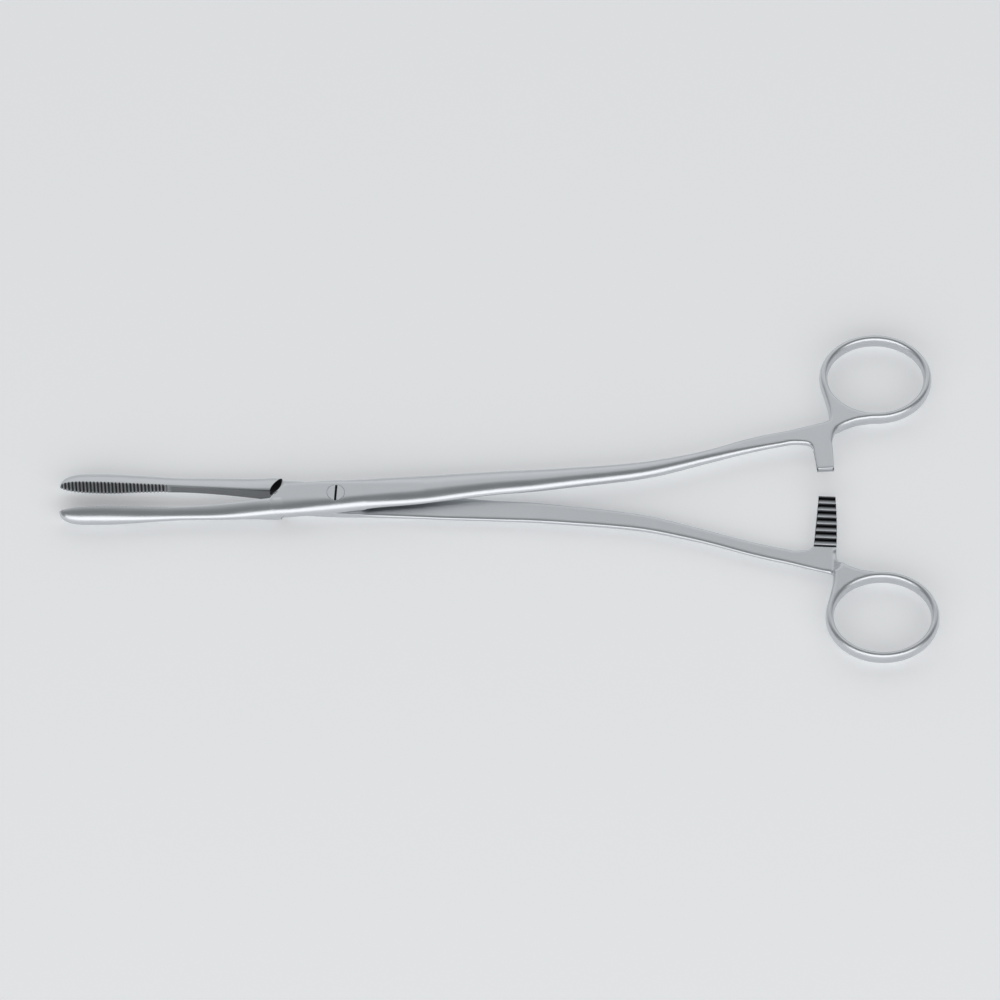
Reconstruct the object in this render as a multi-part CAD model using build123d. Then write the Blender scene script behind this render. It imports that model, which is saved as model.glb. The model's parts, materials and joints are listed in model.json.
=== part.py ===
from build123d import *
import math
import os

# Sponge holding forceps, millimetres.
# Each arm is worked out closed and flat: pivot at the origin, jaws towards -X,
# finger rings towards +X, and the two arms sliding on each other at z = 0.
# The front arm lies above that plane, and its jaw is on the -Y side.
# The back arm is the same forging turned half a turn about the X axis.

# Pose in which the part is exported
rest_opening = 6.0
closed_gap = 0.10

# Jaws, measured from the pivot to the tip
jaw_length = 78.6
jaw_tip_width = 5.85
jaw_waist_width = 3.4
jaw_root_width = 5.0
jaw_tip_depth = 4.5
jaw_waist_depth = 3.55
jaw_root_depth = 4.7
jaw_bow = 0.90
jaw_roundness = 0.94
nose_length = 7.8
nose_sections = 5

# Serrations across the jaw face
serration_pitch = 1.03
serration_depth = 0.45
serration_length = 29.0
serration_land = 0.10

# Lap joint
joint_half_thickness = 3.5
joint_width = 9.75
joint_edge_radius = 2.4
plate_reach = 14.3
plate_end_angle = 141.5
shoulder_clearance = 1.79
slide_gap = 0.10
shank_relief = 0.35
relief_start = 7.0

# Shanks, measured from the pivot to the neck of the ring
shank_length = 129.0
shank_thickness = 2.95
shank_edge_radius = 1.35
shank_crown = 0.35
shank_near_width = 7.0
shank_mid_width = 6.1
shank_far_width = 4.85
shank_waist_width = 3.9
neck_width = 4.5
shank_near_offset = 1.50
shank_far_offset = 3.10
neck_offset = 12.45

# Finger rings, to the middle of the wire-like section
ring_length = 29.8
ring_width = 26.4
ring_section = 2.34
ring_thickness = 4.4
ring_round = 1.08
ring_tilt = -3.0
ring_ahead = 27.08
ring_aside = 19.25
web_corner_radius = 1.2
web_rise = 4.9
web_upper_turn = 197.0
web_lower_turn = 267.0
ramp_ahead = 12.5
ramp_radius = 4.5
relief_side = 4.4

# Ratchet, an arc about the pivot
ratchet_ahead = 10.5
ratchet_width = 4.8
ratchet_taper = 0.10
ratchet_back = 2.2
front_bar_end = 0.48
back_bar_end = -3.25
ratchet_root_radius = 2.6
tooth_pitch = 2.3
tooth_height = 1.0
tooth_lean = 0.16
last_notch = 0.7
bar_overlap = 2.0
front_teeth = 3
back_teeth = 7

# Joint screw
screw_head_diameter = 5.0
screw_head_height = 1.2
screw_bearing_diameter = 3.8
screw_thread_diameter = 3.0
screw_clearance = 0.06
slot_width = 0.62
slot_depth = 0.75
slot_turn = 3.0

# Values that follow from the ones above
half_gap = slide_gap / 2
ratchet_radius = shank_length + ratchet_ahead
ring_x = shank_length + ring_ahead
ring_y = neck_offset + ring_aside
neck_half = neck_width / 2
neck_start = shank_length - 1.0
ring_left = ring_x - ring_length / 2 - ring_section / 2
ring_bottom = ring_y - ring_width / 2 - ring_section / 2
ramp_start = shank_length + ramp_ahead
tool_reach = 3 * joint_half_thickness
tool_span = 2 * ring_x


def d_section(plane, half_width, depth, edge_radius, crown):
    """Section with a flat on the plane's x axis and a crowned, round-edged back."""
    shoulder = depth - crown
    side = shoulder - edge_radius
    crest = half_width - edge_radius
    inset = edge_radius * (1 - math.cos(math.pi / 4))
    with BuildSketch(plane) as section:
        with BuildLine():
            Line((-half_width, 0), (half_width, 0))
            Line((half_width, 0), (half_width, side))
            ThreePointArc((half_width, side), (half_width - inset, shoulder - inset), (crest, shoulder))
            ThreePointArc((crest, shoulder), (0, depth), (-crest, shoulder))
            ThreePointArc((-crest, shoulder), (inset - half_width, shoulder - inset), (-half_width, side))
            Line((-half_width, side), (-half_width, 0))
        make_face()
    return section.sketch.faces()[0]


def jaw_section(x, relief, depth, width):
    """Section of the jaw: its flat is the gripping face, looking along +Y."""
    plane = Plane(origin=(x, -relief, 0), x_dir=(0, 0, 1), z_dir=(1, 0, 0))
    crown = shank_crown * depth / jaw_tip_depth
    rounding = jaw_roundness * min(width / 2, depth - crown)
    return d_section(plane, width / 2, depth, rounding, crown)


def jaw_face_stations():
    """Places along the jaw, with the face relief there."""
    return [
        (0.28, 0.76 * jaw_bow),
        (0.42, 0.94 * jaw_bow),
        (0.565, jaw_bow),
        (0.715, 0.56 * jaw_bow),
        (0.82, 0.16 * jaw_bow),
        (0.90, closed_gap / 2),
    ]


def jaw_relief(x):
    """Relief of the gripping face at x, read between its stations."""
    stations = [(-share * jaw_length, relief) for share, relief in jaw_face_stations()]
    stations.append((-jaw_length, closed_gap / 2))
    for (x_near, near), (x_far, far) in zip(stations, stations[1:]):
        if x >= x_far:
            return near + (far - near) * (x - x_near) / (x_far - x_near)
    return closed_gap / 2


def jaw():
    """Jaw with a bowed face, a waist behind the tip and a rounded nose."""
    thickness = 2 * joint_half_thickness
    sizes = [
        (jaw_root_depth, jaw_root_width),
        (0.6 * jaw_root_depth + 0.4 * jaw_waist_depth, 0.1 * jaw_root_width + 0.9 * jaw_waist_width),
        (jaw_waist_depth, jaw_waist_width),
        (0.37 * jaw_waist_depth + 0.63 * jaw_tip_depth, 0.5 * jaw_waist_width + 0.5 * jaw_tip_width),
        (jaw_tip_depth, jaw_tip_width),
        (0.95 * jaw_tip_depth, jaw_tip_width),
    ]
    sections = []
    for (share, relief), (depth, width) in zip(jaw_face_stations(), sizes):
        sections.append(jaw_section(-share * jaw_length, relief, depth, width))
    root_relief = jaw_face_stations()[0][1]
    joint_depth = joint_width / 2 - root_relief
    root_x = -0.7 * plate_reach
    mid_x = -1.15 * plate_reach
    sections.insert(0, jaw_section(mid_x, root_relief, joint_depth + 0.45, 0.96 * thickness))
    sections.insert(0, jaw_section(root_x, root_relief, joint_depth, thickness))
    start = -jaw_length + nose_length
    for step in range(1, nose_sections + 1):
        turn = math.radians(76 * step / nose_sections)
        size = math.cos(turn)
        x = start - nose_length * math.sin(turn)
        sections.append(jaw_section(x, closed_gap / 2, 0.95 * jaw_tip_depth * size, jaw_tip_width * size))
    return loft(sections)


def serration_cutter():
    """Row of V grooves that follows the bowed face, from the tip inwards."""
    count = int(serration_length / serration_pitch)
    points = []
    for step in range(count):
        x = -jaw_length + serration_pitch * (step + 0.8)
        middle = x + serration_pitch / 2
        points.append((x, -jaw_relief(x) - serration_depth))
        points.append((middle, -jaw_relief(middle) + serration_land))
    first = points[0]
    last = points[-1]
    edge = jaw_tip_depth
    start = first[0] - serration_pitch / 2
    outline = [(start, edge), (start, serration_land)] + points + [(last[0], edge)]
    with BuildSketch(Plane.XY) as zigzag:
        with BuildLine():
            Polyline(*outline, close=True)
        make_face()
    return extrude(zigzag.sketch, amount=joint_half_thickness + jaw_tip_width, both=True)


def shank_section(x, offset, width, height, edge_radius):
    """Section of the shank: its flat looks down at the other arm."""
    plane = Plane(origin=(x, offset, half_gap), x_dir=(0, 1, 0), z_dir=(1, 0, 0))
    return d_section(plane, width / 2, height - half_gap, edge_radius, shank_crown)


def shank():
    """Plate of the lap joint and the S-curved shank up to the ring."""
    joint_height = joint_half_thickness + shank_crown / 2
    back = shank_relief + shank_thickness
    near = shank_near_offset
    far = shank_far_offset
    neck = neck_offset
    edge = shank_edge_radius
    ring_back = ring_thickness / 2
    stations = [
        (0.085, 0.23 * near, 0.35 * shank_near_width + 0.65 * joint_width, joint_height, 0.9 * joint_edge_radius),
        (0.17, 0.41 * near, 0.55 * shank_near_width + 0.45 * joint_width, back, 1.3 * edge),
        (0.295, 0.93 * near, shank_near_width, back, edge),
        (0.42, near, shank_mid_width, back, edge),
        (0.53, 0.46 * (near + far), 0.5 * (shank_mid_width + shank_far_width), back, edge),
        (0.65, far, shank_far_width, back, edge),
        (0.74, 0.385 * neck, 0.4 * shank_far_width + 0.6 * shank_waist_width, back, edge),
        (0.83, 0.60 * neck, shank_waist_width, back, edge),
        (0.915, 0.83 * neck, 0.6 * shank_waist_width + 0.4 * neck_width, back, edge),
        (1.0, neck, neck_width, back, edge),
    ]
    sections = [
        shank_section(-1.5 * plate_reach, -0.9, joint_width, joint_height, joint_edge_radius),
        shank_section(-0.7 * plate_reach, -0.45, joint_width, joint_height, joint_edge_radius),
        shank_section(0.0, 0.0, joint_width, joint_height, joint_edge_radius),
    ]
    for share, offset, width, height, edge_radius in stations:
        sections.append(shank_section(share * shank_length, offset, width, height, edge_radius))
    blend = 0.45 * back + 0.55 * ring_back
    sections.append(shank_section(shank_length + 6.5, neck + 1.6, neck_width, blend, 0.8 * edge))
    sections.append(shank_section(shank_length + 12.0, neck + 3.2, 0.75 * neck_width, 0.9 * ring_back, 0.6 * edge))
    return loft(sections)


def ring_outline(grow):
    """Oval of the finger ring, wider or narrower than its middle line."""
    oval = Ellipse(ring_length / 2 + grow, ring_width / 2 + grow, rotation=ring_tilt)
    return Pos(ring_x, ring_y) * oval


def on_ring(turn):
    """Point on the ring's outer oval at an angle in degrees, and the direction of the oval there."""
    reach = (ring_length + ring_section) / 2
    rise = (ring_width + ring_section) / 2
    angle = math.radians(turn)
    point = Vector(reach * math.cos(angle), rise * math.sin(angle), 0)
    direction = Vector(-reach * math.sin(angle), rise * math.cos(angle), 0)
    return point.rotate(Axis.Z, ring_tilt) + Vector(ring_x, ring_y, 0), direction.rotate(Axis.Z, ring_tilt)


def web_outline():
    """Web between the ring and the neck, in plan: two arcs run into the ring, and the upper corner is rounded."""
    corner = Vector(ring_left + 1.7, neck_offset + web_rise, 0)
    knee = Vector(neck_start + 13.0, neck_offset + 2.2, 0)
    inside_y = ring_y - 0.1 * ring_width
    upper, upper_direction = on_ring(web_upper_turn)
    lower, lower_direction = on_ring(web_lower_turn)
    neck_end = [corner, (neck_start, neck_offset + 0.6 * neck_half), (neck_start, neck_offset - 0.6 * neck_half), knee]
    in_hole = [lower, (lower.X, inside_y), (upper.X + ring_section, inside_y), upper]
    edges = [
        Polyline(*neck_end),
        TangentArc(lower, knee, tangent=-lower_direction),
        Polyline(*in_hole),
        TangentArc(upper, corner, tangent=upper_direction),
    ]
    web = make_face(edges)
    tight = web.vertices().sort_by_distance(corner)[0]
    return fillet(tight, web_corner_radius)


def handle_end():
    """Finger ring with its web and the start of the neck, edges rounded."""
    half = ring_section / 2
    plan = web_outline() + ring_outline(half) - ring_outline(-half)
    body = extrude(Pos(0, 0, -ring_thickness / 2) * plan, amount=ring_thickness)
    flats = body.faces().filter_by(Axis.Z)
    rims = [edge for face in flats for edge in face.edges() if edge.center().X > neck_start + 0.1]
    return fillet(rims, ring_round)


def relief_cutter():
    """Space below the shank, ending in a cove where the ring's full thickness starts."""
    drop = shank_relief + ring_thickness / 2 + 0.3
    turn = math.acos(1 - drop / ramp_radius)
    start = (ramp_start, shank_relief)
    middle = (
        ramp_start + ramp_radius * math.sin(turn / 2),
        shank_relief - ramp_radius * (1 - math.cos(turn / 2)),
    )
    end = (ramp_start + ramp_radius * math.sin(turn), shank_relief - drop)
    edges = [
        Polyline((end[0], -tool_reach), (relief_start, -tool_reach), (relief_start, shank_relief), start),
        ThreePointArc(start, middle, end),
        Line(end, (end[0], -tool_reach)),
    ]
    cove = extrude(Plane.XZ * make_face(edges), amount=tool_span, both=True)
    top = neck_offset + relief_side
    return cove & Pos(0, top - tool_span, 0) * Box(2 * tool_span, 2 * tool_span, 4 * tool_reach)


def bar_outline(end_angle, root_angle):
    """Ratchet bar in plan: a piece of a flat ring about the pivot."""
    corners = {}
    for place, share in (("end", 0.0), ("middle", 0.5), ("root", 1.0)):
        turn = math.radians(end_angle + share * (root_angle - end_angle))
        reach = ratchet_radius * (turn - math.radians(end_angle))
        half = ratchet_width / 2 + ratchet_taper * reach / 2
        for side, radius in (("inner", ratchet_radius - half), ("outer", ratchet_radius + half)):
            corners[side, place] = (radius * math.cos(turn), radius * math.sin(turn))
    edges = [
        ThreePointArc(corners["inner", "end"], corners["inner", "middle"], corners["inner", "root"]),
        Line(corners["inner", "root"], corners["outer", "root"]),
        ThreePointArc(corners["outer", "root"], corners["outer", "middle"], corners["outer", "end"]),
        Line(corners["outer", "end"], corners["inner", "end"]),
    ]
    return make_face(edges)


def tooth_cutter(end_angle, teeth):
    """Saw teeth across the underside of the bar, steep faces towards its root."""
    valley = half_gap + tooth_height
    crest = half_gap - slide_gap
    y = ratchet_radius * math.sin(math.radians(end_angle)) - tooth_pitch * 0.25
    points = [(y - tooth_pitch, -tool_reach), (y - tooth_pitch, crest), (y, crest)]
    for step in range(teeth):
        points.append((y, valley))
        points.append((y + tooth_pitch * (1 - tooth_lean), crest))
        y = y + tooth_pitch
    notch_end = y + last_notch * tooth_pitch
    points += [(y, valley), (notch_end, valley), (notch_end, -tool_reach)]
    profile = make_face(Polyline(*points, close=True))
    at_bar = Plane(origin=(ratchet_radius, 0, 0), x_dir=(0, 1, 0), z_dir=(1, 0, 0))
    return extrude(at_bar * profile, amount=2 * ratchet_width, both=True)


def root_outline(end_angle):
    """Flare where the bar runs into the neck, with a concave quarter round on each side."""
    inner_seat = neck_offset - 0.1
    outer_seat = neck_offset + 2.4
    reach = neck_offset - ratchet_radius * math.sin(math.radians(end_angle))
    half = ratchet_width / 2 + ratchet_taper * reach / 2
    inner = math.sqrt((ratchet_radius - half) ** 2 - inner_seat ** 2)
    outer = math.sqrt((ratchet_radius + half) ** 2 - outer_seat ** 2)
    radius = ratchet_root_radius
    inset = radius * (1 - math.cos(math.pi / 4))
    top = inner_seat + neck_half
    edges = [
        ThreePointArc(
            (inner, inner_seat - radius),
            (inner - inset, inner_seat - inset),
            (inner - radius, inner_seat),
        ),
        Polyline((inner - radius, inner_seat), (inner - radius, top), (outer + radius, top + 2.0),
                 (outer + radius, outer_seat)),
        ThreePointArc(
            (outer + radius, outer_seat),
            (outer + inset, outer_seat - inset),
            (outer, outer_seat - radius),
        ),
        Line((outer, outer_seat - radius), (inner, inner_seat - radius)),
    ]
    return make_face(edges)


def ratchet(end_angle, teeth):
    """Ratchet bar, its flared root in the neck, and its teeth."""
    root_angle = math.degrees(math.atan2(neck_offset - bar_overlap, ratchet_radius))
    bar = bar_outline(end_angle, root_angle)
    root = extrude(Pos(0, 0, shank_relief) * root_outline(end_angle), amount=ratchet_back - shank_relief)
    blade = extrude(Pos(0, 0, half_gap) * bar, amount=ratchet_back - half_gap)
    return root + (blade - tooth_cutter(end_angle, teeth))


def half_space(angle, near, far, low, high):
    """Block that covers the distances near to far along a direction from the pivot."""
    block = Pos((near + far) / 2, 0, (low + high) / 2) * Box(far - near, tool_span, high - low)
    return Rot(0, 0, angle) * block


def blank_arm(bar_end, teeth):
    """One forging with its lap joint cut, before the screw hole."""
    plate_end = half_space(plate_end_angle, plate_reach, tool_span, -tool_reach, tool_reach)
    shoulder_angle = -plate_end_angle - rest_opening
    shoulder_reach = plate_reach + shoulder_clearance
    under_plate = half_space(shoulder_angle, -tool_span, shoulder_reach, -tool_reach, half_gap)
    plate = shank() - plate_end
    grip = jaw() - under_plate - serration_cutter()
    arm = plate + grip + handle_end() - relief_cutter()
    arm = arm + ratchet(bar_end, teeth)
    ground_faces = Pos(ring_x / 3, 0, 0) * Box(2 * tool_span, tool_span, 2 * joint_half_thickness)
    return arm & ground_faces


def upright_cylinder(diameter, low, high):
    """Cylinder about the pivot between two heights."""
    return Pos(0, 0, (low + high) / 2) * Cylinder(diameter / 2, high - low)


def front_arm():
    """Arm above the sliding plane, with the countersunk seat of the screw head."""
    gap = 2 * screw_clearance
    head_low = joint_half_thickness - screw_head_height - screw_clearance
    bearing = upright_cylinder(screw_bearing_diameter + gap, -tool_reach, tool_reach)
    seat = upright_cylinder(screw_head_diameter + gap, head_low, tool_reach)
    return blank_arm(front_bar_end, front_teeth) - bearing - seat


def back_arm():
    """Arm below the sliding plane, turned over, with the hole that the screw fills."""
    turned = Rot(180, 0, 0) * blank_arm(back_bar_end, back_teeth)
    return turned - upright_cylinder(screw_thread_diameter, -tool_reach, tool_reach)


def pivot_screw():
    """Slotted screw: flush head, bearing through the front arm, threaded end."""
    head_low = joint_half_thickness - screw_head_height
    head = upright_cylinder(screw_head_diameter, head_low, joint_half_thickness)
    bearing = upright_cylinder(screw_bearing_diameter, -half_gap, head_low)
    thread = upright_cylinder(screw_thread_diameter, -joint_half_thickness, -half_gap)
    slot = Box(slot_width, 2 * screw_head_diameter, 2 * slot_depth)
    slot = Pos(0, 0, joint_half_thickness) * Rot(0, 0, slot_turn) * slot
    return head + bearing + thread - slot


# Open the arms to the rest pose and stand the part on its lowest point
half_opening = rest_opening / 2
nodes = {
    "front_arm": Rot(0, 0, half_opening) * front_arm(),
    "back_arm": Rot(0, 0, -half_opening) * back_arm(),
    "pivot_screw": Rot(0, 0, -half_opening) * pivot_screw(),
}
ends = [shape.bounding_box() for shape in nodes.values()]
low_x = min(end.min.X for end in ends)
high_x = max(end.max.X for end in ends)
pivot = (-(low_x + high_x) / 2, 0, joint_half_thickness)

os.makedirs("parts", exist_ok=True)
for name, shape in nodes.items():
    placed = Pos(*pivot) * shape
    placed.label = name
    export_step(placed, os.path.join("parts", name + ".step"))
    print(name, "volume", round(placed.volume, 1), "solids", len(placed.solids()))
print("pivot at", [round(value, 4) for value in pivot])
print("length over all", round(high_x - low_x, 3))
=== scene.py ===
# %% [markdown]
# # Sponge holding forceps in satin steel
# The forceps are one forging used twice: the second arm is the first one turned half a turn
# about its length. Both are crossed at a lap joint, held by a slotted screw, and they lie
# flat and slightly open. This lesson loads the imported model, works out smooth skins for the
# two arms and the screw with numpy, gives them a satin steel finish, and lights them softly.

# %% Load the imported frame
import json
import math

import bpy
import numpy as np
from mathutils import Euler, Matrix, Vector, geometry


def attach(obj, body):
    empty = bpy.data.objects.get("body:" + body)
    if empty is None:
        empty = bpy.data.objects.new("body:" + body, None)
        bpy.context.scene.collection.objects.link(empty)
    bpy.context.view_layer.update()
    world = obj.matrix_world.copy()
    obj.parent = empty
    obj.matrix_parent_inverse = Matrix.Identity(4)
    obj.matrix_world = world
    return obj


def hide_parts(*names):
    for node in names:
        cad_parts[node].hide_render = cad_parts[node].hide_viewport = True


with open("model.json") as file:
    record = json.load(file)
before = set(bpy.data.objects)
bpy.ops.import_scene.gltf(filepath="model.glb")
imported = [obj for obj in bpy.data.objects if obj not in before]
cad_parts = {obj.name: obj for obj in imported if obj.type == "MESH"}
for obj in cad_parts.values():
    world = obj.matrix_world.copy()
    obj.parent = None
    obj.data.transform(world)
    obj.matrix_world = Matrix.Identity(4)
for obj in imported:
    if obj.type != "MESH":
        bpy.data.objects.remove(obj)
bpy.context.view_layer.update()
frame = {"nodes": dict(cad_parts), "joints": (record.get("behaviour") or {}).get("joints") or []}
hinge = frame["joints"][0]
pivot = np.array(hinge["pos_m"])
print("nodes", sorted(frame["nodes"]), "pivot", pivot.round(4))

# %% [markdown]
# ## Measures of the forging
# The skins are worked out in millimetres, arm by arm, in the closed position: the pivot is the
# origin, the jaws point to -X, the rings to +X, and the arms slide on each other at z = 0.
# The upper arm lies above that plane. Widths and centres are given at stations along the arm,
# because the shank follows no simple law. Most of the shank's stations were measured in the
# photograph, as the average of both arms where both show, and the rest were drawn.

# %% Sizes and stations, in millimetres
MM = 0.001
HALF_OPENING = math.radians(3.0)
HALF_GAP = 0.05
JOINT_TOP = 3.5
SHANK_TOP = 3.3
SHANK_FLOOR = 0.35
RING_TOP = 2.2
BAR_TOP = 2.2
SIDE_SHARE = 0.84
CREASE = 38.0

# Middle line and width of the shank in plan
shank_x = [-24, -10, 0, 11, 21.9, 32.5, 43.9, 55.2, 66.7, 78.1,
           89.5, 98, 106.8, 118.3, 124, 129, 135.5, 141]
shank_middle = [-0.9, -0.45, 0, 0.34, 0.61, 1.12, 1.43, 1.50, 2.04, 2.64,
                3.78, 5.42, 7.42, 10.36, 11.55, 12.45, 14.1, 15.7]
shank_width = [9.75, 9.75, 9.7, 8.8, 8.24, 7.36, 6.45, 6.03, 5.5, 5.08,
               4.56, 4.08, 3.93, 4.12, 4.32, 4.5, 4.2, 3.4]

# Rounded sides: the near one is wide at the joint, and both are alike on the shank
side_x = [-17, -8, 0, 8, 25]
near_wide = [4.95, 4.3, 3.5, 3.2, 3.1]
near_high = [3.5, 3.3, 3.15, 2.95, 2.55]
near_power = [2.9, 2.5, 2.2, 2.05, 2.0]
far_wide = [0.6, 1.0, 1.6, 2.2, 3.1]
far_high = [1.2, 1.6, 2.2, 2.5, 2.55]
far_power = [2.0, 2.0, 2.0, 2.0, 2.0]

# Shift of each side of a shank in plan, towards +Y where positive: what was left between the
# averaged shank and the arm's own edges in the photograph once the camera was chosen
shift_x = [4, 18, 29.5, 41, 52, 64, 75, 86, 98, 103, 120, 131]
outer_shift = {
    "front": [0, 0.50, 0.58, 0.85, 1.10, 0.97, 0.84, 0.67, 0.42, 0.32, 0.42, 0],
    "back": [0, -0.10, -0.20, -0.30, -0.25, -0.22, -0.20, -0.18, 0, 0, 0, 0],
}
inner_shift = {
    "front": [0, -0.25, -0.36, -0.16, 0.12, 0.22, 0.30, 0.14, 0, 0.12, 0, 0],
    "back": [0, -0.20, -0.35, -0.45, -0.55, -0.57, -0.58, -0.55, -0.5, -0.37, -0.2, 0],
}

# Finger ring, ratchet bar and teeth
ring_middle = np.array([156.08, 31.70])
ring_half = np.array([14.9, 13.2])
ring_wire = 2.34
ring_tilt = math.radians(-3.0)

bar_radius = 139.5
bar_width = 4.8
bar_taper = 0.10
bar_root_y = 10.2
bar_ends = {"front": math.radians(0.48), "back": math.radians(-3.25)}
tooth_counts = {"front": 3, "back": 7}
tooth_pitch = 2.3
tooth_height = 1.0

# Rounded edges: width in plan, then height. One number means that both are the same
ring_edge = (1.06, 1.95)
bar_edge = (0.42, 0.45)
bar_low_edge = 0.1
shank_low_edge = (0.75, 0.60)
joint_low_edge = 0.12
end_edge = 0.15
widest_strip = 1.95
deeper_relief = 0.25
print(len(shank_x), "stations along the shank, teeth", tooth_counts)

# %% [markdown]
# ## Small tools for curves and heights
# A cubic through the stations keeps the shank's edges fair. A smooth step joins two levels
# without a crease, which is what a polishing wheel does to a forging.

# %% Curve helpers
def through(knots, values, at):
    """Cubic through the knots: each piece takes the slopes that its neighbours give."""
    knots = np.asarray(knots, float)
    values = np.asarray(values, float)
    slopes = np.gradient(values, knots)
    piece = np.clip(np.searchsorted(knots, at) - 1, 0, len(knots) - 2)
    span = knots[piece + 1] - knots[piece]
    t = np.clip((at - knots[piece]) / span, 0, 1)
    start = (2 * t**3 - 3 * t**2 + 1) * values[piece] + (t**3 - 2 * t**2 + t) * span * slopes[piece]
    end = (3 * t**2 - 2 * t**3) * values[piece + 1] + (t**3 - t**2) * span * slopes[piece + 1]
    return start + end


def step(low, high, at):
    """0 before low, 1 after high, and 3t^2 - 2t^3 between them."""
    t = np.clip((at - low) / (high - low), 0, 1)
    return t * t * (3 - 2 * t)


def mix(first, second, share):
    """first at share 0, second at share 1, in a straight line between them."""
    return first + (second - first) * share


def middle_of(x):
    """Y of the shank's middle line at x, from its stations."""
    return through(shank_x, shank_middle, x)


def half_width_of(x):
    """Half the width of the shank at x, from its stations."""
    return through(shank_x, shank_width, x) / 2


print("shank widths", [round(float(2 * half_width_of(x)), 2) for x in (0, 40, 80, 120)])

# %% [markdown]
# ## Outline of the arm in plan
# Seen from above, the plate, shank, ratchet bar, web and ring are one closed line. It is put
# together from runs and arcs, and then averaged along its own length with a bell curve. A wide
# bell turns a corner into a generous forged fillet, a narrow one leaves a crisp ground edge, so
# one filter with a spread that changes along the line makes every fillet of the outline.

# %% Closed lines and their fillets
def evenly(loop, gap):
    """Closed line read again at equal steps of its length."""
    closed = np.vstack([loop, loop[:1]])
    length = np.concatenate([[0], np.cumsum(np.hypot(*np.diff(closed, axis=0).T))])
    count = int(round(length[-1] / gap))
    at = np.linspace(0, length[-1], count, endpoint=False)
    return np.column_stack([np.interp(at, length, closed[:, k]) for k in (0, 1)])


def averaged(loop, spread, gap):
    """Bell-curve average along a closed line of equal steps, worked out as a product of spectra."""
    waves = np.fft.fftfreq(len(loop), gap)
    weight = np.exp(-2 * (math.pi * spread * waves) ** 2)
    return np.fft.ifft(np.fft.fft(loop, axis=0) * weight[:, None], axis=0).real


def filleted(loop, spread_at, gap=0.1):
    """Line whose average is as wide as spread_at says at each of its points."""
    loop = evenly(loop, gap)
    levels = np.array([0.05, 0.12, 0.3, 0.7, 1.3, 2.0])
    stack = np.array([averaged(loop, level, gap) for level in levels])
    wanted = spread_at(loop[:, 0], loop[:, 1])
    wanted = averaged(np.column_stack([wanted, wanted]), 0.8, gap)[:, 0]
    wanted = np.clip(wanted, levels[0], levels[-1])
    place = np.clip(np.searchsorted(levels, wanted) - 1, 0, len(levels) - 2)
    share = (wanted - levels[place]) / (levels[place + 1] - levels[place])
    column = np.arange(len(loop))
    return mix(stack[place, column], stack[place + 1, column], share[:, None])


corners = np.array([[0.0, 0.0], [10.0, 0.0], [10.0, 10.0], [0.0, 10.0]])
print("a square with fillets reaches", filleted(corners, lambda x, y: 0.7 + 0 * x).max().round(2))

# %% [markdown]
# ## Runs and arcs of the outline
# Points sit closer where the line bends, so that the small corners of the bar get as many as
# they need and the long shank stays light. The ring is an ellipse, the bar lies between two arcs
# about the pivot, because it has to pass the other arm's bar while the forceps close.

# %% Ring, bar and the whole line
def by_curvature(loop, gap, tight):
    """Closed line read again with more points where it bends more."""
    before = np.roll(loop, 1, axis=0)
    after = np.roll(loop, -1, axis=0)
    size = np.hypot(*(after - before).T) / 2
    bend = np.hypot(*(after - 2 * loop + before).T) / size**2
    bend = averaged(np.column_stack([bend, bend]), 0.25, float(size.mean()))[:, 0]
    density = (1 / gap + tight * np.clip(bend, 0, None)) * size
    total = np.concatenate([[0], np.cumsum(density)])
    at = np.linspace(0, total[-1], int(total[-1]), endpoint=False)
    closed = np.vstack([loop, loop[:1]])
    return np.column_stack([np.interp(at, total, closed[:, k]) for k in (0, 1)])


def oval(turns, grow):
    """Ring line at angles in turns of a circle: an ellipse, tilted, wider by grow on every side."""
    angle = 2 * math.pi * np.asarray(turns)
    flat = np.column_stack([(ring_half[0] + grow) * np.cos(angle), (ring_half[1] + grow) * np.sin(angle)])
    cos, sin = math.cos(ring_tilt), math.sin(ring_tilt)
    return flat @ np.array([[cos, sin], [-sin, cos]]) + ring_middle


def bar_sides(end):
    """Inner and outer side of the ratchet bar: arcs about the pivot that part towards the root."""
    root = math.asin(bar_root_y / bar_radius)
    angle = np.linspace(end, root, 60)
    half = bar_width / 2 + bar_taper * bar_radius * (angle - end) / 2
    along = np.column_stack([np.cos(angle), np.sin(angle)])
    return along * (bar_radius - half)[:, None], along * (bar_radius + half)[:, None]


def bell(x, y, middle, wide, high):
    """1 at the middle and exp(-d^2) around it, d counted in widths along X and heights along Y."""
    return np.exp(-(((x - middle[0]) / wide) ** 2) - ((y - middle[1]) / high) ** 2)


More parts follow.
